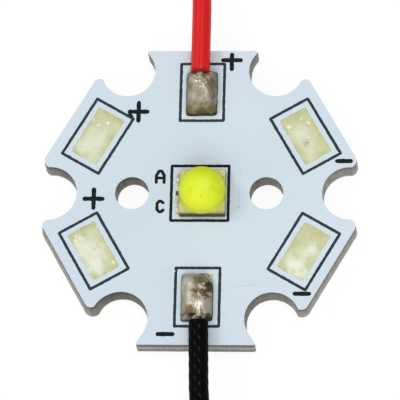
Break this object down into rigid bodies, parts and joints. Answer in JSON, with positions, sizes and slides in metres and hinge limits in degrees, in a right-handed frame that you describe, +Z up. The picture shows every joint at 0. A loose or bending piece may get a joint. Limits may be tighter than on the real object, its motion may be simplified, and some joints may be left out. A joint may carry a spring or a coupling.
{
  "type": "star pcb power led",
  "caption": "Star-shaped metal-core circuit board with a domed power LED in its middle, framed solder pads round it, and a red and a black lead soldered on.",
  "frame": {"origin": "middle of the board's underside, where the six notches' directions meet", "axes": "+Z up through the LED, +Y to the positive lead's pad, +X to the right of the LED's marks"},
  "size_m": [0.0204, 0.0692, 0.004],
  "materials": {
    "base_aluminium": "milled, dull",
    "dielectric": "matte",
    "copper": "plain copper foil",
    "white_mask": "satin lacquer",
    "black_print": "matte ink",
    "tin": "tin coat with a little flux",
    "ceramic": "unglazed",
    "gold_metal": "gold plate",
    "chip": "polished",
    "phosphor_silicone": "smooth, clouded",
    "lead_solder": "bright solder with flux",
    "tinned_copper": "tinned",
    "red_insulation": "satin",
    "black_insulation": "glossy",
    "tie": "matte"
  },
  "bodies": {
    "root": {"aluminium_base": "base_aluminium", "anode_copper": "copper", "anode_solder": "tin", "black_coil": "black_insulation", "black_conductor": "tinned_copper", "black_lead": "black_insulation", "black_solder_joint": "lead_solder", "black_tail": "black_insulation", "black_tie": "tie", "black_tip": "tinned_copper", "bottom_pad_frame": "black_print", "cathode_copper": "copper", "cathode_solder": "tin", "dielectric_layer": "dielectric", "heat_copper": "copper", "heat_solder": "tin", "led_anode": "gold_metal", "led_carrier": "ceramic", "led_cathode": "gold_metal", "led_chip": "chip", "led_dome": "phosphor_silicone", "led_frame": "black_print", "led_heat_terminal": "gold_metal", "lower_left_pad_frame": "black_print", "lower_left_pad_tin": "tin", "lower_right_pad_frame": "black_print", "lower_right_pad_tin": "tin", "red_coil": "red_insulation", "red_conductor": "tinned_copper", "red_lead": "red_insulation", "red_solder_joint": "lead_solder", "red_tail": "red_insulation", "red_tie": "tie", "red_tip": "tinned_copper", "solder_mask": "white_mask", "top_pad_frame": "black_print", "upper_left_pad_frame": "black_print", "upper_left_pad_tin": "tin", "upper_right_pad_frame": "black_print", "upper_right_pad_tin": "tin"}
  },
  "joints": []
}
